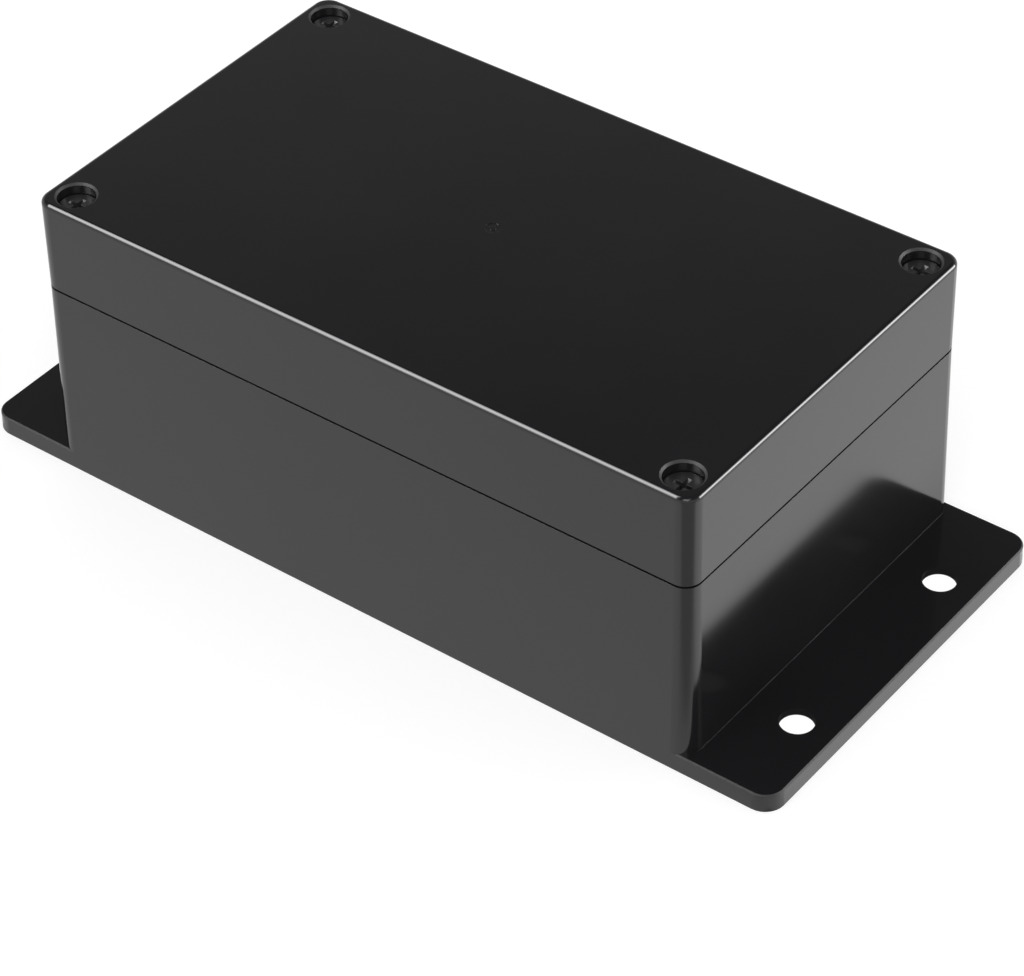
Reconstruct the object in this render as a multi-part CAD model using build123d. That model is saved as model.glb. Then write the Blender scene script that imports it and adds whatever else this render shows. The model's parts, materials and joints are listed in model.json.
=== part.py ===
from build123d import *

import math
import os

# A sealed project box in black ABS: a base with a fixed ear at each end, and a deep lid
# held by four countersunk machine screws. Millimetres. X runs along the box, Y across it
# and Z up. The origin is at the centre of the underside.

# Outer form, measured at the joint between lid and base
body_length = 158.0
body_width = 90.5
corner_radius = 3.6
seam_height = 45.1          # height of the joint above the underside
lid_height = 21.1
base_draft = 0.9            # degrees, the base widens downwards
lid_draft = 0.1             # degrees, the lid narrows upwards
top_round = 1.0
reveal_height = 0.5         # shadow line between lid and base
reveal_depth = 1.0

# Walls
floor_thickness = 2.6
roof_thickness = 2.6
lid_wall = 2.0

# Ears
ear_reach = 19.4            # from the joint's end line to the ear's end
ear_height = 4.1
ear_skin = 1.6
ear_lip = 2.0
ear_corner = 4.4
ear_bevel = 0.3
ear_hole_diameter = 7.0
ear_hole_inset = 8.4        # hole axis to the ear's end
ear_hole_spacing_y = 50.0

# Corner posts and lid screws
screw_inset = 6.0           # screw axis to the two outer faces
post_inner_radius = 5.8
screw_diameter = 4.0
screw_reach = 11.3          # below the joint, the whole screw is then 30 long
screw_head_diameter = 7.5
screw_head_edge = 0.3
cross_width = 0.9
cross_span = 4.4
cross_depth = 1.7
head_seat_gap = 0.05
counterbore_diameter = 7.8
counterbore_depth = 2.6
counterbore_bevel = 0.45
screw_hole_diameter = 4.7

# Threaded inserts
insert_diameter = 5.6
insert_length = 8.0
thread_gap = 0.05           # between the screw and the insert, on the radius
post_bore_diameter = 4.6
post_bore_spare = 2.0       # free depth under the screw's end

# Seal: a cord in a slot of the lid, pressed by a tongue on the base
cord_diameter = 2.6
slot_gap = 0.1              # cord to each wall of the slot, and to the webs over it
slot_rib = 1.3
slot_bend = 4.0             # bend of the slot's outer wall beside a post
least_bend = 0.2            # smallest corner that is left rounded
least_straight = 0.05       # between two bends of a wall
tongue_height = 1.8
tongue_thickness = 1.1
tongue_gap = 0.1
cord_gap = 0.3              # tongue to cord, with the lid closed
web_thickness = 1.4
web_spacing = 20.0

# Board standoffs
standoff_diameter = 6.6
standoff_height = 5.0
standoff_pilot_diameter = 2.6
standoff_pilot_depth = 6.0
standoff_spacing_x = 120.0
standoff_spacing_y = 60.0

# Mark of the moulding gate on the lid
gate_diameter = 3.2
gate_depth = 0.15
gate_nub_diameter = 1.4

# Worked out from the sizes above
post_size = 2 * screw_inset
lid_top = seam_height + lid_height
base_spread = seam_height * math.tan(math.radians(base_draft))
foot_length = body_length + 2 * base_spread
foot_width = body_width + 2 * base_spread
ear_length = body_length + 2 * ear_reach
ear_hole_x = ear_length / 2 - ear_hole_inset
screw_x = body_length / 2 - screw_inset
screw_y = body_width / 2 - screw_inset
tongue_outer = lid_wall + tongue_gap
tongue_inner = tongue_outer + tongue_thickness
slot_width = cord_diameter + 2 * slot_gap
slot_inner = lid_wall + slot_width
rib_inner = slot_inner + slot_rib
cord_low = seam_height + tongue_height + cord_gap
cone_top = lid_top - counterbore_depth
head_edge_low = cone_top - (counterbore_diameter - screw_head_diameter) / 2 + head_seat_gap
head_top = head_edge_low + screw_head_edge
screw_tip = seam_height - screw_reach
CORNERS = {
    "front_left": (-1, -1),
    "front_right": (1, -1),
    "rear_left": (-1, 1),
    "rear_right": (1, 1),
}


def notched(inset):
    """Region inside the walls and corner posts, its edge this far in from the outer faces."""
    half_x = body_length / 2 - inset
    half_y = body_width / 2 - inset
    depth = post_size - lid_wall
    region = Rectangle(2 * half_x, 2 * half_y)
    for sx, sy in CORNERS.values():
        region -= Pos(sx * half_x, sy * half_y) * Rectangle(2 * depth, 2 * depth)
    grown = inset - lid_wall
    bend = max(slot_bend - grown, least_bend)
    post_round = min(post_inner_radius + grown, depth - bend - least_straight)
    around_posts = []
    beside_posts = []
    for v in region.vertices():
        inside_x = abs(v.X) < half_x - depth / 2
        inside_y = abs(v.Y) < half_y - depth / 2
        if inside_x and inside_y:
            around_posts.append(v)
        else:
            beside_posts.append(v)
    region = fillet(around_posts, post_round)
    corners = []
    for v in region.vertices():
        on_end = abs(abs(v.X) - half_x) < 0.01
        on_side = abs(abs(v.Y) - half_y) < 0.01
        if on_end or on_side:
            corners.append(v)
    return fillet(corners, bend)


def block(sketch, low, high, taper=0.0):
    """Sketch raised from one height to another."""
    return extrude(Pos(0, 0, low) * sketch, high - low, taper=taper)


def bore(x, y, low, high, diameter):
    """Round bar to cut or fill a hole."""
    return Pos(x, y, (low + high) / 2) * Cylinder(diameter / 2, high - low)


def make_base_shell():
    """Tapered walls and the ears' slab, solid inside."""
    foot = RectangleRounded(foot_length, foot_width, corner_radius + base_spread)
    body = block(foot, 0, seam_height, base_draft)
    plate = block(RectangleRounded(ear_length, foot_width, ear_corner), 0, ear_height, base_draft)
    plate = chamfer(plate.faces().sort_by(Axis.Z)[-1].edges(), ear_bevel)
    return body + plate


def make_ear_hollow(side):
    """Space under one ear, inside its lip."""
    near = foot_length / 2 + ear_lip / 2
    far = ear_length / 2 - ear_lip
    length = far - near
    width = foot_width - 2 * ear_lip
    centre = side * (near + far) / 2
    return block(Pos(centre, 0) * RectangleRounded(length, width, ear_corner - ear_lip), 0, ear_height - ear_skin)


def make_base():
    base = make_base_shell()
    base -= block(notched(tongue_inner), floor_thickness, seam_height)
    base += block(notched(tongue_outer) - notched(tongue_inner), seam_height, seam_height + tongue_height)
    for side in (-1, 1):
        base -= make_ear_hollow(side)
        for end in (-1, 1):
            x = side * ear_hole_x
            y = end * ear_hole_spacing_y / 2
            base -= bore(x, y, 0, ear_height, ear_hole_diameter)
            base += make_standoff(side * standoff_spacing_x / 2, end * standoff_spacing_y / 2)
    for sx, sy in CORNERS.values():
        x = sx * screw_x
        y = sy * screw_y
        base -= bore(x, y, seam_height - insert_length, seam_height, insert_diameter)
        base -= bore(x, y, screw_tip - post_bore_spare, seam_height, post_bore_diameter)
    return base


def make_standoff(x, y):
    """Board post on the floor, with a blind pilot hole."""
    top = floor_thickness + standoff_height
    post = bore(x, y, floor_thickness / 2, top, standoff_diameter)
    return post - bore(x, y, top - standoff_pilot_depth, top, standoff_pilot_diameter)


def make_lid_shell():
    """Outer form of the lid, with rounded top edges and the shadow line."""
    outline = RectangleRounded(body_length, body_width, corner_radius)
    shell = block(outline, seam_height, lid_top, lid_draft)
    shell = fillet(shell.faces().sort_by(Axis.Z)[-1].edges(), top_round)
    inner = corner_radius - reveal_depth
    core = RectangleRounded(body_length - 2 * reveal_depth, body_width - 2 * reveal_depth, inner)
    wide = Rectangle(body_length + 1, body_width + 1)
    return shell - block(wide - core, seam_height, seam_height + reveal_height)


def make_webs():
    """Cross webs in the lid's slot. The cord rests against their lower edges."""
    low = cord_low + cord_diameter + slot_gap
    high = lid_top - roof_thickness / 2
    mid = (lid_wall + slot_inner) / 2
    reach = slot_width + slot_rib
    side_y = body_width / 2 - mid
    end_x = body_length / 2 - mid
    run_x = body_length - 2 * post_size
    run_y = body_width - 2 * post_size
    count_x = int(run_x / web_spacing)
    count_y = int(run_y / web_spacing)
    webs = []
    for i in range(count_x):
        x = (i - (count_x - 1) / 2) * web_spacing
        for side in (-1, 1):
            webs.append(Pos(x, side * side_y, (low + high) / 2) * Box(web_thickness, reach, high - low))
    for i in range(count_y):
        y = (i - (count_y - 1) / 2) * web_spacing
        for side in (-1, 1):
            webs.append(Pos(side * end_x, y, (low + high) / 2) * Box(reach, web_thickness, high - low))
    return webs


def make_screw_recess(x, y):
    """Counterbore with a bevelled rim, countersink and clearance hole of one lid screw."""
    hole_r = screw_hole_diameter / 2
    wall_r = counterbore_diameter / 2
    rim_r = wall_r + counterbore_bevel
    outline = Polyline(
        (0, seam_height - 1),
        (hole_r, seam_height - 1),
        (hole_r, cone_top - (wall_r - hole_r)),
        (wall_r, cone_top),
        (wall_r, lid_top - counterbore_bevel),
        (rim_r, lid_top),
        (rim_r, lid_top + 1),
        (0, lid_top + 1),
        close=True,
    )
    return Pos(x, y) * revolve(Plane.XZ * make_face(outline), Axis.Z)


def make_lid():
    roof_low = lid_top - roof_thickness
    lid = make_lid_shell()
    lid -= block(notched(rib_inner), seam_height, roof_low)
    lid -= block(notched(lid_wall) - notched(slot_inner), seam_height, roof_low)
    for web in make_webs():
        lid += web
    for sx, sy in CORNERS.values():
        lid -= make_screw_recess(sx * screw_x, sy * screw_y)
    lid -= bore(0, 0, lid_top - gate_depth, lid_top, gate_diameter)
    lid += bore(0, 0, lid_top - 2 * gate_depth, lid_top, gate_nub_diameter)
    return lid


def make_gasket():
    """Cord that follows the middle of the lid's slot, with a plain square section."""
    outer = notched(lid_wall + slot_gap)
    inner = notched(slot_inner - slot_gap)
    return block(outer - inner, cord_low, cord_low + cord_diameter)


def make_insert(x, y):
    """Threaded insert in the top of a corner post. Its thread is left plain."""
    low = seam_height - insert_length
    insert = bore(x, y, low, seam_height, insert_diameter)
    return insert - bore(x, y, low, seam_height, screw_diameter + 2 * thread_gap)


def make_screw(x, y):
    """Countersunk machine screw with a cross recess. The thread is left plain."""
    head_r = screw_head_diameter / 2
    shank_r = screw_diameter / 2
    outline = Polyline(
        (0, screw_tip),
        (shank_r, screw_tip),
        (shank_r, head_edge_low - (head_r - shank_r)),
        (head_r, head_edge_low),
        (head_r, head_top),
        (0, head_top),
        close=True,
    )
    screw = revolve(Plane.XZ * make_face(outline), Axis.Z)
    for span_x, span_y in ((cross_span, cross_width), (cross_width, cross_span)):
        arm = Rectangle(span_x, span_y)
        screw -= extrude(Pos(0, 0, head_top) * arm, -cross_depth)
    return Pos(x, y) * screw


os.makedirs("parts", exist_ok=True)
nodes = {"base": make_base(), "lid": make_lid(), "gasket": make_gasket()}
for place, (sx, sy) in CORNERS.items():
    nodes["insert_" + place] = make_insert(sx * screw_x, sy * screw_y)
    nodes["lid_screw_" + place] = make_screw(sx * screw_x, sy * screw_y)
for name, shape in nodes.items():
    export_step(shape, "parts/" + name + ".step")
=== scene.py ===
import json
import math

import bmesh
import bpy
from mathutils import Matrix, Vector


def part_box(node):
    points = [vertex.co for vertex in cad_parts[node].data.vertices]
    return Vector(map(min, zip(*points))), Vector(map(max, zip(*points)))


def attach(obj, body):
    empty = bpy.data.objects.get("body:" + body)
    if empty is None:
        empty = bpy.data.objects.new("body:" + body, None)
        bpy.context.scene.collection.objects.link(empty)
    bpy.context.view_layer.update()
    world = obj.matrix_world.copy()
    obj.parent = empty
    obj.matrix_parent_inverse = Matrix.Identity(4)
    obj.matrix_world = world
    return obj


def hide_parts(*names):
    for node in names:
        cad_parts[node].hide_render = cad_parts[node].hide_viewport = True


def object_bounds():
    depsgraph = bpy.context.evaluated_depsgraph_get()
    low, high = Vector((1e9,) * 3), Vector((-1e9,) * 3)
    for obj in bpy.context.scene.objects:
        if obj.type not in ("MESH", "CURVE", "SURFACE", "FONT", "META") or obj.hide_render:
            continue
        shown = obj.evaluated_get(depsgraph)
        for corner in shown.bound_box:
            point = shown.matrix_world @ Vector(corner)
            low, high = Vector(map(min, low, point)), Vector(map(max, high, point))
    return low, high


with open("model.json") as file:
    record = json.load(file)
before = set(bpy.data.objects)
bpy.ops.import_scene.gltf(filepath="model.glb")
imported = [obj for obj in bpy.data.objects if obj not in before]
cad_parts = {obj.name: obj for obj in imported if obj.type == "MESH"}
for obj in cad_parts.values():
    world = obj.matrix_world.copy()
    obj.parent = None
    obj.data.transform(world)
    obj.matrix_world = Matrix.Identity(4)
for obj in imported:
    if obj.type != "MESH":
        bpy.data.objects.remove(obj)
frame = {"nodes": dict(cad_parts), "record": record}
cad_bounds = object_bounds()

MM = 0.001
CORNERS = ("front_left", "front_right", "rear_left", "rear_right")
RECORD_COLOURS = {m["slot"]: m["base_color"] for m in frame["record"]["materials"]}


# Small helpers for node trees

def add(tree, kind, **settings):
    """New node with its own properties set by name, and its inputs by a dict called inputs."""
    node = tree.nodes.new(kind)
    inputs = settings.pop("inputs", {})
    for name, value in settings.items():
        setattr(node, name, value)
    for name, value in inputs.items():
        node.inputs[name].default_value = value
    return node


def feed(tree, socket, value):
    """Gives a node's input its value, a socket or a number."""
    if isinstance(value, bpy.types.NodeSocket):
        tree.links.new(value, socket)
    else:
        socket.default_value = value


def maths(tree, operation, *values):
    """Maths node of one to three values."""
    node = add(tree, "ShaderNodeMath", operation=operation)
    for place, value in enumerate(values):
        feed(tree, node.inputs[place], value)
    return node.outputs[0]


def coordinates(tree, kind):
    """X, Y and Z of a kind of texture coordinate."""
    split = add(tree, "ShaderNodeSeparateXYZ")
    tree.links.new(add(tree, "ShaderNodeTexCoord").outputs[kind], split.inputs[0])
    return split.outputs["X"], split.outputs["Y"], split.outputs["Z"]


def fit_range(tree, value, low, high, to_low, to_high, way="LINEAR"):
    """Value of one range carried over to another."""
    node = add(tree, "ShaderNodeMapRange", interpolation_type=way)
    ends = {"Value": value, "From Min": low, "From Max": high, "To Min": to_low, "To Max": to_high}
    for name, end in ends.items():
        feed(tree, node.inputs[name], end)
    return node.outputs["Result"]


def start_group(name, kind, inputs, outputs):
    """Empty node group with its sockets made. Inputs give a socket type and a usual value."""
    tree = bpy.data.node_groups.new(name, kind)
    for label, (socket, value) in inputs.items():
        item = tree.interface.new_socket(label, in_out="INPUT", socket_type=socket)
        if value is not None:
            item.default_value = value
    for label, socket in outputs.items():
        tree.interface.new_socket(label, in_out="OUTPUT", socket_type=socket)
    return tree, tree.nodes.new("NodeGroupInput").outputs, tree.nodes.new("NodeGroupOutput").inputs


# Effects that several materials share

FINE_DETAIL = 2.0
SLOW_DETAIL = 3.0
NOISE_ROUGH = 0.55
CLOUD_RANGE = (0.3, 0.7)        # of the slow noise, carried over to the range of the gloss
EDGE_SAMPLES = 6


def make_grain_group():
    """Fine mould texture: a height for bump, and a slow cloudy mask for colour and gloss."""
    number = "NodeSocketFloat"
    inputs = {"Grain Size": (number, 0.4 * MM), "Cloud Size": (number, 30 * MM)}
    outputs = {"Height": number, "Cloud": number}
    tree, given, result = start_group("mould grain", "ShaderNodeTree", inputs, outputs)
    place = add(tree, "ShaderNodeTexCoord").outputs["Object"]
    layers = (
        ("Fine", "Grain Size", FINE_DETAIL, "Height"),
        ("Slow", "Cloud Size", SLOW_DETAIL, "Cloud"),
    )
    for label, size, detail, output in layers:
        noise = add(tree, "ShaderNodeTexNoise", label=label,
                    inputs={"Detail": detail, "Roughness": NOISE_ROUGH})
        tree.links.new(place, noise.inputs["Vector"])
        tree.links.new(maths(tree, "DIVIDE", 1.0, given[size]), noise.inputs["Scale"])
        tree.links.new(noise.outputs["Fac"], result[output])
    return tree


def make_edge_group():
    """Softened normal at edges."""
    inputs = {"Radius": ("NodeSocketFloat", 0.1 * MM)}
    outputs = {"Normal": "NodeSocketVector"}
    tree, given, result = start_group("soft edge", "ShaderNodeTree", inputs, outputs)
    bevel = add(tree, "ShaderNodeBevel", samples=EDGE_SAMPLES)
    tree.links.new(given["Radius"], bevel.inputs["Radius"])
    tree.links.new(bevel.outputs["Normal"], result["Normal"])
    return tree


def use_group(tree, group, **values):
    """Group node with its inputs set by name, underscores standing for spaces."""
    node = add(tree, "ShaderNodeGroup", node_tree=group)
    for name, value in values.items():
        node.inputs[name.replace("_", " ")].default_value = value
    return node.outputs


def colour_sockets(sockets):
    """Sockets of a node that carry a colour, in order."""
    return [socket for socket in sockets if socket.type == "RGBA"]


def mix_colours(tree, mask, low, high):
    """Colour that goes from low to high with the mask."""
    node = add(tree, "ShaderNodeMix", data_type="RGBA")
    tree.links.new(mask, node.inputs["Factor"])
    for socket, colour in zip(colour_sockets(node.inputs), (low, high)):
        socket.default_value = (*colour, 1.0)
    return colour_sockets(node.outputs)[0]


def start_material(name, **sockets):
    """Material with a Principled shader, its plain values set on its own sockets."""
    material = bpy.data.materials.new(name)
    material.use_nodes = True
    shader = material.node_tree.nodes["Principled BSDF"]
    for socket, value in sockets.items():
        shader.inputs[socket.replace("_", " ")].default_value = value
    return material, material.node_tree, shader.inputs


def surface(tree, sockets, grain, edge, low, high, rough, depth):
    """Cloudy colour and gloss, with fine bump over softened edges.

    Rough is a pair that the clouds go between, or a socket of its own."""
    tree.links.new(mix_colours(tree, grain["Cloud"], low, high), sockets["Base Color"])
    if isinstance(rough, tuple):
        rough = fit_range(tree, grain["Cloud"], *CLOUD_RANGE, *rough)
    tree.links.new(rough, sockets["Roughness"])
    bump = add(tree, "ShaderNodeBump", inputs={"Strength": 1.0, "Distance": depth})
    tree.links.new(grain["Height"], bump.inputs["Height"])
    tree.links.new(edge["Normal"], bump.inputs["Normal"])
    tree.links.new(bump.outputs["Normal"], sockets["Normal"])


def tinted(colour, share):
    """Colour made lighter or darker by a share."""
    return [channel * share for channel in colour]


EAR_TOP = 4.1 * MM              # height of the ears
TOP_ROUND = 1.0 * MM            # rounding of the lid's top edges
NEAR_TOP = 3 * MM               # the recess rims lie within this of the lid's top
BEVEL_LEAN = 0.707              # upward part of a bevel's normal
BEVEL_SPREAD = 0.12             # how far that part may be off
EAR_ROUGH = 0.65                # roughness of the ears' bevels
RIM_ROUGH = 0.58                # and of the recess rims
MARGIN = 0.2 * MM


def bevel_rough(tree):
    """Roughness of the ears' bevels and of the rims of the screw recesses, 0 elsewhere."""
    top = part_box("lid")[1]
    x, y, z = coordinates(tree, "Object")
    slanted = maths(tree, "COMPARE", coordinates(tree, "Normal")[2], BEVEL_LEAN, BEVEL_SPREAD)
    ears = maths(tree, "MULTIPLY", maths(tree, "LESS_THAN", z, EAR_TOP + MARGIN), EAR_ROUGH)
    within_x = maths(tree, "LESS_THAN", maths(tree, "ABSOLUTE", x), top.x - TOP_ROUND - MARGIN)
    within_y = maths(tree, "LESS_THAN", maths(tree, "ABSOLUTE", y), top.y - TOP_ROUND - MARGIN)
    within = maths(tree, "MULTIPLY", within_x, within_y)
    high_up = maths(tree, "MULTIPLY", maths(tree, "GREATER_THAN", z, top.z - NEAR_TOP), RIM_ROUGH)
    rims = maths(tree, "MULTIPLY", high_up, within)
    return maths(tree, "MULTIPLY", slanted, maths(tree, "MAXIMUM", ears, rims))


HOUSING_GLOSS = (0.1, 0.14)     # roughness of the plastic away from its bevels


def make_housing_plastic(grain_group, edge_group):
    """Black moulded plastic, glossy, with a very fine texture and duller bevels."""
    colour = RECORD_COLOURS["housing"]
    material, tree, sockets = start_material("black moulded plastic", IOR=1.54)
    grain = use_group(tree, grain_group, Grain_Size=0.35 * MM, Cloud_Size=45 * MM)
    edge = use_group(tree, edge_group, Radius=0.04 * MM)
    gloss = fit_range(tree, grain["Cloud"], *CLOUD_RANGE, *HOUSING_GLOSS)
    rough = maths(tree, "MAXIMUM", gloss, bevel_rough(tree))
    surface(tree, sockets, grain, edge, low=tinted(colour, 0.5), high=tinted(colour, 0.75),
            rough=rough, depth=0.001 * MM)
    return material


def make_seal_silicone(grain_group, edge_group):
    """Translucent white silicone."""
    colour = RECORD_COLOURS["seal"]
    material, tree, sockets = start_material("white silicone", IOR=1.41, Subsurface_Weight=0.4,
                                             Subsurface_Scale=1.5 * MM)
    grain = use_group(tree, grain_group, Grain_Size=0.6 * MM, Cloud_Size=12 * MM)
    edge = use_group(tree, edge_group, Radius=0.05 * MM)
    surface(tree, sockets, grain, edge, low=tinted(colour, 0.9), high=colour,
            rough=(0.45, 0.6), depth=0.004 * MM)
    return material


def make_insert_brass(grain_group, edge_group):
    """Turned brass."""
    colour = RECORD_COLOURS["insert"]
    material, tree, sockets = start_material("turned brass", Metallic=1.0)
    grain = use_group(tree, grain_group, Grain_Size=0.12 * MM, Cloud_Size=4 * MM)
    edge = use_group(tree, edge_group, Radius=0.05 * MM)
    surface(tree, sockets, grain, edge, low=tinted(colour, 0.75), high=colour,
            rough=(0.28, 0.42), depth=0.003 * MM)
    return material


def make_screw_steel(grain_group, edge_group):
    """Steel with a black oxide finish, lightly oiled."""
    colour = RECORD_COLOURS["screw"]
    material, tree, sockets = start_material("black oxide steel", IOR=1.6, Coat_Weight=0.25,
                                             Coat_Roughness=0.2)
    grain = use_group(tree, grain_group, Grain_Size=0.1 * MM, Cloud_Size=3 * MM)
    edge = use_group(tree, edge_group, Radius=0.06 * MM)
    surface(tree, sockets, grain, edge, low=tinted(colour, 0.8), high=tinted(colour, 1.5),
            rough=(0.3, 0.45), depth=0.003 * MM)
    return material


# Meshes

MERGE_DISTANCE = 0.001 * MM
RIDGE_SIDES = 4                 # of a thread's ridge and of a knurled one


def new_object(name, content):
    """Object at the origin that holds a mesh, lamp or camera, in the scene's collection."""
    thing = bpy.data.objects.new(name, content)
    bpy.context.scene.collection.objects.link(thing)
    return thing


def revolved(profile, centre, segments):
    """Closed solid of revolution about an upright axis, from radius and height pairs."""
    shape = bmesh.new()
    points = [shape.verts.new((radius, 0, height)) for radius, height in profile]
    edges = [shape.edges.new(pair) for pair in zip(points, points[1:])]
    bmesh.ops.spin(shape, geom=points + edges, cent=(0, 0, 0), axis=(0, 0, 1),
                   angle=math.tau, steps=segments)
    bmesh.ops.remove_doubles(shape, verts=shape.verts, dist=MERGE_DISTANCE)
    bmesh.ops.recalc_face_normals(shape, faces=shape.faces)
    bmesh.ops.translate(shape, verts=shape.verts, vec=centre)
    mesh = bpy.data.meshes.new("turned")
    shape.to_mesh(mesh)
    shape.free()
    return mesh


def smooth(thing, angle):
    """Smooth shading, apart from edges sharper than the angle in degrees."""
    for polygon in thing.data.polygons:
        polygon.use_smooth = True
    thing.data.set_sharp_from_angle(angle=math.radians(angle))


def baked(thing, name):
    """Plain object with the evaluated mesh of another one, which is removed."""
    graph = bpy.context.evaluated_depsgraph_get()
    mesh = bpy.data.meshes.new_from_object(thing.evaluated_get(graph))
    bpy.data.objects.remove(thing)
    return new_object(name, mesh)


def grow(thing, name, tree, **values):
    """Runs a geometry tree on an object with inputs set by name, and returns the plain result."""
    modifier = thing.modifiers.new("grow", "NODES")
    modifier.node_group = tree
    sockets = [item for item in tree.interface.items_tree if item.in_out == "INPUT"]
    labels = {item.name: item.identifier for item in sockets}
    for label, value in values.items():
        modifier[labels[label.replace("_", " ")]] = value
    return baked(thing, name)


def finish_tree(tree, geometry, given, result):
    """Realize Instances and Set Material, as the last nodes of a geometry tree."""
    whole = add(tree, "GeometryNodeRealizeInstances")
    coated = add(tree, "GeometryNodeSetMaterial")
    tree.links.new(geometry, whole.inputs["Geometry"])
    tree.links.new(whole.outputs["Geometry"], coated.inputs["Geometry"])
    tree.links.new(given["Material"], coated.inputs["Material"])
    tree.links.new(coated.outputs["Geometry"], result["Geometry"])


def start_geometry(name, **sizes):
    """Geometry tree that takes a mesh, named sizes and a material."""
    inputs = {"Geometry": ("NodeSocketGeometry", None)}
    for label, value in sizes.items():
        kind = "NodeSocketInt" if isinstance(value, int) else "NodeSocketFloat"
        inputs[label.replace("_", " ")] = (kind, value)
    inputs["Material"] = ("NodeSocketMaterial", None)
    return start_group(name, "GeometryNodeTree", inputs, {"Geometry": "NodeSocketGeometry"})


def make_cord_tree():
    """Round cord along the edges of the mesh."""
    tree, given, result = start_geometry("cord along a path", Diameter=2.6 * MM, Facets=20)
    path = add(tree, "GeometryNodeMeshToCurve")
    circle = add(tree, "GeometryNodeCurvePrimitiveCircle")
    tube = add(tree, "GeometryNodeCurveToMesh")
    tree.links.new(given["Geometry"], path.inputs["Mesh"])
    tree.links.new(maths(tree, "DIVIDE", given["Diameter"], 2.0), circle.inputs["Radius"])
    tree.links.new(given["Facets"], circle.inputs["Resolution"])
    tree.links.new(path.outputs["Curve"], tube.inputs["Curve"])
    tree.links.new(circle.outputs["Curve"], tube.inputs["Profile Curve"])
    finish_tree(tree, tube.outputs["Mesh"], given, result)
    return tree


def make_thread_tree():
    """Screw thread: a sharp ridge wound round the mesh's axis and joined to it."""
    tree, given, result = start_geometry(
        "screw thread", Bottom=0.0, Across=0.0, Along=0.0, Length=26 * MM, Pitch=0.7 * MM,
        Crest_Radius=2 * MM, Depth=0.4 * MM, Steps=22)
    turns = maths(tree, "DIVIDE", given["Length"], given["Pitch"])
    middle = maths(tree, "SUBTRACT", given["Crest Radius"], given["Depth"])
    helix = add(tree, "GeometryNodeCurveSpiral")
    tree.links.new(given["Steps"], helix.inputs["Resolution"])
    tree.links.new(turns, helix.inputs["Rotations"])
    tree.links.new(middle, helix.inputs["Start Radius"])
    tree.links.new(middle, helix.inputs["End Radius"])
    tree.links.new(given["Length"], helix.inputs["Height"])
    upright = add(tree, "GeometryNodeSetCurveNormal", mode="Z_UP")
    ridge = add(tree, "GeometryNodeCurvePrimitiveCircle", inputs={"Resolution": RIDGE_SIDES})
    tree.links.new(given["Depth"], ridge.inputs["Radius"])
    wound = add(tree, "GeometryNodeCurveToMesh", inputs={"Fill Caps": True})
    tree.links.new(helix.outputs["Curve"], upright.inputs["Curve"])
    tree.links.new(upright.outputs["Curve"], wound.inputs["Curve"])
    tree.links.new(ridge.outputs["Curve"], wound.inputs["Profile Curve"])
    sharp = add(tree, "GeometryNodeSetShadeSmooth", inputs={"Shade Smooth": False})
    tree.links.new(wound.outputs["Mesh"], sharp.inputs["Geometry"])
    spot = add(tree, "ShaderNodeCombineXYZ")
    for label, axis in (("Across", "X"), ("Along", "Y"), ("Bottom", "Z")):
        tree.links.new(given[label], spot.inputs[axis])
    moved = add(tree, "GeometryNodeTransform")
    tree.links.new(sharp.outputs["Geometry"], moved.inputs["Geometry"])
    tree.links.new(spot.outputs["Vector"], moved.inputs["Translation"])
    joined = add(tree, "GeometryNodeJoinGeometry")
    tree.links.new(moved.outputs["Geometry"], joined.inputs["Geometry"])
    tree.links.new(given["Geometry"], joined.inputs["Geometry"])
    finish_tree(tree, joined.outputs["Geometry"], given, result)
    return tree


def make_knurl_tree():
    """Upright ridges in a ring round the mesh's axis, joined to it."""
    tree, given, result = start_geometry(
        "knurled band", Bottom=0.0, Across=0.0, Along=0.0, Radius=2.7 * MM, Height=3 * MM,
        Ridges=32, Ridge_Radius=0.2 * MM)
    ring = add(tree, "GeometryNodeMeshCircle")
    tree.links.new(given["Ridges"], ring.inputs["Vertices"])
    tree.links.new(given["Radius"], ring.inputs["Radius"])
    prism = add(tree, "GeometryNodeMeshCylinder", inputs={"Vertices": RIDGE_SIDES})
    tree.links.new(given["Ridge Radius"], prism.inputs["Radius"])
    tree.links.new(given["Height"], prism.inputs["Depth"])
    spread = add(tree, "GeometryNodeInstanceOnPoints")
    facing = add(tree, "FunctionNodeAlignRotationToVector", axis="X")
    position = add(tree, "GeometryNodeInputPosition").outputs["Position"]
    tree.links.new(position, facing.inputs["Vector"])
    tree.links.new(ring.outputs["Mesh"], spread.inputs["Points"])
    tree.links.new(prism.outputs["Mesh"], spread.inputs["Instance"])
    tree.links.new(facing.outputs["Rotation"], spread.inputs["Rotation"])
    spot = add(tree, "ShaderNodeCombineXYZ")
    half = maths(tree, "DIVIDE", given["Height"], 2.0)
    tree.links.new(given["Across"], spot.inputs["X"])
    tree.links.new(given["Along"], spot.inputs["Y"])
    tree.links.new(maths(tree, "ADD", given["Bottom"], half), spot.inputs["Z"])
    moved = add(tree, "GeometryNodeTransform")
    tree.links.new(spread.outputs["Instances"], moved.inputs["Geometry"])
    tree.links.new(spot.outputs["Vector"], moved.inputs["Translation"])
    joined = add(tree, "GeometryNodeJoinGeometry")
    tree.links.new(moved.outputs["Geometry"], joined.inputs["Geometry"])
    tree.links.new(given["Geometry"], joined.inputs["Geometry"])
    finish_tree(tree, joined.outputs["Geometry"], given, result)
    return tree


# Seal

POST_REACH = 10.0 * MM          # how far each corner post stands into the seal's run
POST_BEND = 7.2 * MM            # bend of the cord's middle round a post
END_BEND = 2.6 * MM             # bend beside a post
BEND_STEPS = 9                  # points on one bend
CORD_FACETS = 20
CORD_CREASE = 60                # degrees, sharper edges stay sharp


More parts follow.
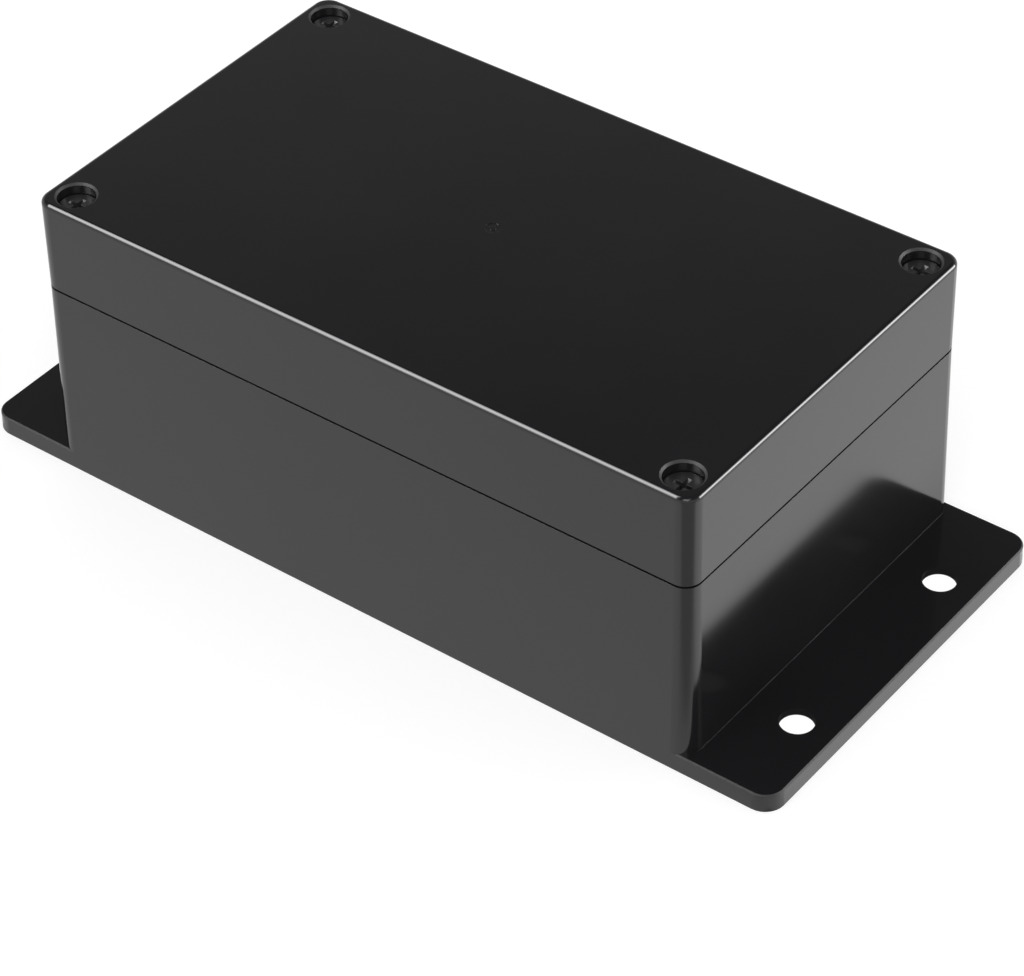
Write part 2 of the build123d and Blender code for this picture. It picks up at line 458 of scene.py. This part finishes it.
def seal_route(half_x, half_y, height):
    """Middle line of the seal: a rectangle that steps in round the four corner posts."""
    quarter = math.pi / 2
    post_side = POST_REACH - POST_BEND
    route = []
    for turn in range(4):
        along, across = (half_x, half_y) if turn % 2 == 0 else (half_y, half_x)
        bends = (
            (along - END_BEND, across - POST_REACH - END_BEND, END_BEND, 0.0, 1),
            (along - post_side, across - post_side, POST_BEND, 3 * quarter, -1),
            (along - POST_REACH - END_BEND, across - END_BEND, END_BEND, 0.0, 1),
        )
        for x, y, bend, first, way in bends:
            for step in range(BEND_STEPS):
                angle = first + way * quarter * step / (BEND_STEPS - 1)
                point = Vector((x + bend * math.cos(angle), y + bend * math.sin(angle), height))
                route.append(Matrix.Rotation(turn * quarter, 3, "Z") @ point)
    return route


def make_gasket(tree, material):
    """Round silicone cord in the lid's slot."""
    low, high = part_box("gasket")
    diameter = high.z - low.z
    route = seal_route(high.x - diameter / 2, high.y - diameter / 2, (low.z + high.z) / 2)
    count = len(route)
    mesh = bpy.data.meshes.new("seal line")
    mesh.from_pydata(route, [(i, (i + 1) % count) for i in range(count)], [])
    line = new_object("seal line", mesh)
    cord = grow(line, "gasket_cord", tree, Diameter=diameter, Facets=CORD_FACETS,
                Material=material)
    smooth(cord, CORD_CREASE)
    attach(cord, "lid")
    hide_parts("gasket")


# Screws and inserts

SHANK_RADIUS = 2.0 * MM
THREAD_DEPTH = 0.38 * MM
THREAD_PITCH = 0.7 * MM
THREAD_STEPS = 22               # facets in one turn
THREAD_END = 0.3 * MM           # plain length at the tip
HEAD_EDGE = 0.3 * MM            # height of the head's upright edge
HEAD_ROUND = 0.2 * MM
HEAD_STEPS = 3
TURNED_FACETS = 48
SCREW_CREASE = 35
CROSS_WIDTH = 0.95 * MM
CROSS_SPAN = 4.4 * MM
CROSS_DEPTH = 1.9 * MM
CROSS_RISE = 0.2 * MM           # height of the cutter above the head
CROSS_SPAN_TAPER = 0.3          # span at the bottom, as a share of that at the top
CROSS_WIDTH_TAPER = 0.75        # and width


def make_cross_cutter(centre):
    """Tapered cross that cuts the driver recess in a screw head."""
    shape = bmesh.new()
    for quarter_turn in (0, 1):
        blade = bmesh.ops.create_cube(shape, size=1.0)["verts"]
        for vert in blade:
            low = vert.co.z < 0
            vert.co.x *= CROSS_SPAN * (CROSS_SPAN_TAPER if low else 1.0)
            vert.co.y *= CROSS_WIDTH * (CROSS_WIDTH_TAPER if low else 1.0)
            vert.co.z = -CROSS_DEPTH if low else CROSS_RISE
        turn = Matrix.Rotation(quarter_turn * math.pi / 2, 3, "Z")
        bmesh.ops.rotate(shape, verts=blade, cent=(0, 0, 0), matrix=turn)
    bmesh.ops.translate(shape, verts=shape.verts, vec=centre)
    mesh = bpy.data.meshes.new("cross")
    shape.to_mesh(mesh)
    shape.free()
    return new_object("cross", mesh)


def head_rim(radius, top):
    """Rounded upper edge of a screw head, as radius and height pairs."""
    pairs = []
    for step in range(HEAD_STEPS + 1):
        angle = math.pi / 2 * step / HEAD_STEPS
        inward = HEAD_ROUND * (1 - math.cos(angle))
        downward = HEAD_ROUND * (1 - math.sin(angle))
        pairs.append((radius - inward, top - downward))
    return pairs


def make_screw(corner, tree, material):
    """Countersunk screw, threaded right up to its head, with a cross recess."""
    node = "lid_screw_" + corner
    low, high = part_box(node)
    head = (high.x - low.x) / 2
    centre = Vector(((low.x + high.x) / 2, (low.y + high.y) / 2, 0))
    root = SHANK_RADIUS - THREAD_DEPTH
    neck = high.z - HEAD_EDGE - (head - root)
    profile = [
        (0, low.z),
        (root - THREAD_END / 2, low.z),
        (root, low.z + THREAD_END),
        (root, neck),
        (head, high.z - HEAD_EDGE),
        *head_rim(head, high.z),
        (0, high.z),
    ]
    body = new_object("screw body", revolved(profile, centre, TURNED_FACETS))
    cutter = make_cross_cutter(Vector((centre.x, centre.y, high.z)))
    cut = body.modifiers.new("cross", "BOOLEAN")
    cut.object = cutter
    cut.solver = "EXACT"
    cut.use_self = True
    body = baked(body, "screw body")
    bpy.data.objects.remove(cutter)
    thread_low = low.z + THREAD_END
    screw = grow(body, "threaded_screw_" + corner, tree, Bottom=thread_low, Across=centre.x,
                 Along=centre.y, Length=neck - thread_low, Pitch=THREAD_PITCH,
                 Crest_Radius=SHANK_RADIUS, Depth=THREAD_DEPTH, Steps=THREAD_STEPS,
                 Material=material)
    smooth(screw, SCREW_CREASE)
    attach(screw, "screw_" + corner)
    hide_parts(node)


KNURL_RIDGES = 36
KNURL_RIDGE = 0.2 * MM
KNURL_MARGIN = 0.1 * MM         # from a knurled band to the groove
INSERT_GROOVE = 1.4 * MM
GROOVE_DEPTH = 0.25 * MM
INSERT_BORE = 2.05 * MM         # radius
INSERT_BEVEL = 0.3 * MM
INSERT_CREASE = 30


def make_insert(corner, tree, material):
    """Brass insert with two knurled bands and a groove between them."""
    node = "insert_" + corner
    low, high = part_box(node)
    centre = Vector(((low.x + high.x) / 2, (low.y + high.y) / 2, 0))
    core = (high.x - low.x) / 2 - KNURL_RIDGE
    middle = (low.z + high.z) / 2
    groove_low, groove_high = middle - INSERT_GROOVE / 2, middle + INSERT_GROOVE / 2
    profile = [
        (INSERT_BORE + INSERT_BEVEL, low.z),
        (core, low.z),
        (core, groove_low),
        (core - GROOVE_DEPTH, groove_low),
        (core - GROOVE_DEPTH, groove_high),
        (core, groove_high),
        (core, high.z),
        (INSERT_BORE + INSERT_BEVEL, high.z),
        (INSERT_BORE, high.z - INSERT_BEVEL),
        (INSERT_BORE, low.z + INSERT_BEVEL),
        (INSERT_BORE + INSERT_BEVEL, low.z),
    ]
    insert = new_object("insert body", revolved(profile, centre, TURNED_FACETS))
    bands = (("lower band", low.z), ("knurled_insert_" + corner, groove_high + KNURL_MARGIN))
    for name, bottom in bands:
        insert = grow(insert, name, tree, Bottom=bottom, Across=centre.x, Along=centre.y,
                      Radius=core, Height=groove_low - low.z - KNURL_MARGIN, Ridges=KNURL_RIDGES,
                      Ridge_Radius=KNURL_RIDGE, Material=material)
    smooth(insert, INSERT_CREASE)
    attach(insert, "base")
    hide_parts(node)


# Housing shells

def dress_shell(name, material):
    """Gives a shell its plastic."""
    for slot in frame["nodes"][name].material_slots:
        slot.material = material


# Studio

WHITE = (1.0, 1.0, 1.0, 1.0)
X_EDGE = (1, 0, 0)
Y_EDGE = (0, 1, 0)


def mix_shaders(tree, share, first, second):
    """Shader node that goes from the first to the second with the share."""
    node = add(tree, "ShaderNodeMixShader")
    tree.links.new(share, node.inputs[0])
    tree.links.new(first.outputs[0], node.inputs[1])
    tree.links.new(second.outputs[0], node.inputs[2])
    return node


def turned(right, up, back):
    """Turn that lays an object's own axes along three directions."""
    return Matrix((right, up, back)).transposed().to_4x4()


FLOOR_SIZE = 3.0                # metres from the middle to each side
FLOOR_GAP = 0.02 * MM           # the floor lies this far below the feet
MATT_COLOUR = (0.8, 0.8, 0.8, 1.0)
EYE_COLOUR = (0.5, 0.5, 0.5, 1.0)   # share of the light on the floor that the eye gets back
FLOOR_LIFT = 0.65               # what the eye sees of the floor where no light reaches it
FLOOR_LEFT = 0.88               # what gloss shows of the floor in front of the box
PAINTED_LIGHT_RIGHT = 1.22              # painted light: the floor in gloss is brighter past its right end
PAINTED_SHADE_NEAR = 0.5                # painted shade: the floor in gloss is dimmer past its right end, towards the near corner
PAINTED_SHADOW_UNDER = 0.02              # painted shadow: the floor in gloss is dark under its foot
END_LINE = (75 * MM, 97 * MM)   # X over which the floor goes over to the painted light past the right end
NEAR_LINE = (-62 * MM, -32 * MM)    # Y over which it goes from near to right
FOOT_MARGIN = 2 * MM            # how far the painted shadow under the foot fades in from its outline, and how far inside that outline the floor's opening stays


def painted_floor_gloss(tree):
    """Brightness of the floor in reflections, with a painted shadow at the foot, painted light
    past the right end and painted shade towards the near corner.
    """
    reach = cad_bounds[1]
    x, y, _ = coordinates(tree, "Object")
    # Painted light past the right end, with painted shade towards the near corner.
    right_end = fit_range(tree, y, *NEAR_LINE, PAINTED_SHADE_NEAR, PAINTED_LIGHT_RIGHT, "SMOOTHSTEP")
    painted_light = fit_range(tree, x, *END_LINE, FLOOR_LEFT, right_end, "SMOOTHSTEP")
    past_x = maths(tree, "SUBTRACT", maths(tree, "ABSOLUTE", x), reach.x)
    past_y = maths(tree, "SUBTRACT", maths(tree, "ABSOLUTE", y), reach.y)
    past = maths(tree, "MAXIMUM", past_x, past_y)
    # Painted shadow under the foot, fading in over FOOT_MARGIN.
    return fit_range(tree, past, -FOOT_MARGIN, 0.0, PAINTED_SHADOW_UNDER, painted_light)


def make_floor():
    """White floor that keeps a soft shadow for the eye. In gloss it shows a painted shadow at the
    foot and painted light past the right end.

    It is open under the foot and clear from below, so that the underside can be seen."""
    foot = cad_bounds[1]
    corners = []
    for half_x, half_y in ((FLOOR_SIZE, FLOOR_SIZE), (foot.x - FOOT_MARGIN, foot.y - FOOT_MARGIN)):
        for side_x, side_y in ((-1, -1), (1, -1), (1, 1), (-1, 1)):
            corners.append((side_x * half_x, side_y * half_y, -FLOOR_GAP))
    faces = [(i, (i + 1) % 4, (i + 1) % 4 + 4, i + 4) for i in range(4)]
    mesh = bpy.data.meshes.new("floor")
    mesh.from_pydata(corners, [], faces)
    floor = new_object("floor", mesh)
    material = bpy.data.materials.new("white floor")
    material.use_nodes = True
    tree = material.node_tree
    tree.nodes.clear()
    output = add(tree, "ShaderNodeOutputMaterial")
    rays = add(tree, "ShaderNodeLightPath")
    matt = add(tree, "ShaderNodeBsdfDiffuse", inputs={"Color": MATT_COLOUR})
    faint = add(tree, "ShaderNodeBsdfDiffuse", inputs={"Color": EYE_COLOUR})
    lift = add(tree, "ShaderNodeEmission", inputs={"Color": WHITE, "Strength": FLOOR_LIFT})
    mirror = add(tree, "ShaderNodeEmission", inputs={"Color": WHITE})
    # The floor's reflection carries the painted shadow and the painted light.
    tree.links.new(painted_floor_gloss(tree), mirror.inputs["Strength"])
    seen = add(tree, "ShaderNodeAddShader")
    tree.links.new(faint.outputs[0], seen.inputs[0])
    tree.links.new(lift.outputs[0], seen.inputs[1])
    by_eye = mix_shaders(tree, rays.outputs["Is Camera Ray"], matt, seen)
    glossy, through = rays.outputs["Is Glossy Ray"], rays.outputs["Is Transmission Ray"]
    shiny = maths(tree, "MAXIMUM", glossy, through)
    in_gloss = mix_shaders(tree, shiny, by_eye, mirror)
    below = add(tree, "ShaderNodeNewGeometry").outputs["Backfacing"]
    whole = mix_shaders(tree, below, in_gloss, add(tree, "ShaderNodeBsdfTransparent"))
    tree.links.new(whole.outputs[0], output.inputs["Surface"])
    floor.data.materials.append(material)


HORIZON = 0.05                  # height of a direction, 1 being straight up
OVERHEAD = 0.66
BELOW = -0.4
HORIZON_GLOSS = 1.0             # what gloss shows of the world at the horizon
OVERHEAD_GLOSS = 0.05           # and overhead and far below
SKY_FILL = 0.7                  # light that the world gives to matt surfaces
SKY_PLAIN = 1.0                 # what the eye sees of it


def make_world():
    """White to the eye, a soft fill otherwise. Gloss shows it dim overhead and below."""
    world = bpy.data.worlds.new("studio")
    bpy.context.scene.world = world
    world.use_nodes = True
    tree = world.node_tree
    tree.nodes.clear()
    output = add(tree, "ShaderNodeOutputWorld")
    rays = add(tree, "ShaderNodeLightPath")
    height = coordinates(tree, "Generated")[2]
    gloss = add(tree, "ShaderNodeBackground", inputs={"Color": WHITE})
    sky = fit_range(tree, height, HORIZON, OVERHEAD, HORIZON_GLOSS, OVERHEAD_GLOSS)
    ground = fit_range(tree, height, BELOW, 0.0, OVERHEAD_GLOSS, HORIZON_GLOSS)
    tree.links.new(maths(tree, "MINIMUM", sky, ground), gloss.inputs["Strength"])
    fill = add(tree, "ShaderNodeBackground", inputs={"Color": WHITE, "Strength": SKY_FILL})
    plain = add(tree, "ShaderNodeBackground", inputs={"Color": WHITE, "Strength": SKY_PLAIN})
    shiny = mix_shaders(tree, rays.outputs["Is Glossy Ray"], fill, gloss)
    by_eye, through = rays.outputs["Is Camera Ray"], rays.outputs["Is Transmission Ray"]
    clear = maths(tree, "MAXIMUM", by_eye, through)
    seen = mix_shaders(tree, clear, shiny, plain)
    tree.links.new(seen.outputs[0], output.inputs["Surface"])


# Name, direction from the box, the edge that it lights up, distance, width, height, brightness,
# and whether it shows in gloss alone
LAMPS = (
    ("front strip", (-0.47, -0.44, 0.76), X_EDGE, 1.2, 0.55, 2.0, 11.5, True),
    ("right strip", (0.738, 0.597, 0.313), Y_EDGE, 1.2, 0.8, 1.0, 14.0, True),
    ("front softbox", (0.55, -0.75, 0.9), X_EDGE, 1.6, 0.8, 0.8, 3.0, False),
)


def fade_lamp(lamp):
    """Lets a lamp's brightness fall off from its middle to its upper and lower edge."""
    lamp.use_nodes = True
    tree = lamp.node_tree
    place = add(tree, "ShaderNodeSeparateXYZ")
    tree.links.new(add(tree, "ShaderNodeNewGeometry").outputs["Parametric"], place.inputs[0])
    half = 0.5
    aside = maths(tree, "ABSOLUTE", maths(tree, "SUBTRACT", place.outputs["Y"], half))
    shine = fit_range(tree, aside, 0.0, half, 1.0, 0.0, "SMOOTHSTEP")
    tree.links.new(shine, tree.nodes["Emission"].inputs["Strength"])


def make_softbox(name, way, edge, distance, width, height, brightness, only_gloss):
    """Rectangular lamp that faces the box, its brightness being that of its surface.

    Its height stands square to the box's edge that it is to light up. A lamp for gloss alone
    fades towards its edges."""
    lamp = bpy.data.lights.new(name, "AREA")
    lamp.shape = "RECTANGLE"
    lamp.size = width
    lamp.size_y = height
    lamp.energy = brightness * math.pi * width * height
    if only_gloss:
        fade_lamp(lamp)
    thing = new_object(name, lamp)
    back = Vector(way).normalized()
    upward = back.cross(Vector(edge)).normalized()
    turn = turned(upward.cross(back), upward, back)
    thing.matrix_world = Matrix.Translation(back * distance) @ turn
    thing.visible_camera = False
    thing.visible_diffuse = not only_gloss


CAMERA_TURN = 38.393            # degrees round the box from its front
CAMERA_TILT = 40.528            # degrees above the horizon
CAMERA_ROLL = -1.579
CAMERA_DISTANCE = 794.56 * MM
CAMERA_TARGET = (0, 0, -8.295 * MM)
CAMERA_LENS = 135.48            # millimetres, as the sensor is
CAMERA_SENSOR = 36.0
CAMERA_SHIFT = (0.01103, 0.03125)
CAMERA_NEAR = 0.05              # metres, nearest and farthest that it sees
CAMERA_FAR = 20.0


def make_camera():
    """Camera at the photograph's angle and distance."""
    turn, tilt, roll = (math.radians(angle) for angle in (CAMERA_TURN, CAMERA_TILT, CAMERA_ROLL))
    outward = math.cos(tilt)
    back = Vector((math.sin(turn) * outward, -math.cos(turn) * outward, math.sin(tilt)))
    level = Vector((0, 0, 1)).cross(back).normalized()
    rise = back.cross(level)
    right = level * math.cos(roll) + rise * math.sin(roll)
    up = rise * math.cos(roll) - level * math.sin(roll)
    camera = new_object("camera", bpy.data.cameras.new("camera"))
    camera.data.sensor_width = CAMERA_SENSOR
    camera.data.lens = CAMERA_LENS
    camera.data.shift_x, camera.data.shift_y = CAMERA_SHIFT
    camera.data.clip_start = CAMERA_NEAR
    camera.data.clip_end = CAMERA_FAR
    place = Vector(CAMERA_TARGET) + back * CAMERA_DISTANCE
    camera.matrix_world = Matrix.Translation(place) @ turned(right, up, back)
    bpy.context.scene.camera = camera


grain_group = make_grain_group()
edge_group = make_edge_group()
plastic = make_housing_plastic(grain_group, edge_group)
silicone = make_seal_silicone(grain_group, edge_group)
brass = make_insert_brass(grain_group, edge_group)
steel = make_screw_steel(grain_group, edge_group)

for shell_name in ("base", "lid"):
    dress_shell(shell_name, plastic)
make_gasket(make_cord_tree(), silicone)
thread_tree = make_thread_tree()
knurl_tree = make_knurl_tree()
for corner_name in CORNERS:
    make_screw(corner_name, thread_tree, steel)
    make_insert(corner_name, knurl_tree, brass)

make_floor()
make_world()
for lamp_sizes in LAMPS:
    make_softbox(*lamp_sizes)
make_camera()
bpy.context.scene.view_settings.view_transform = "Standard"
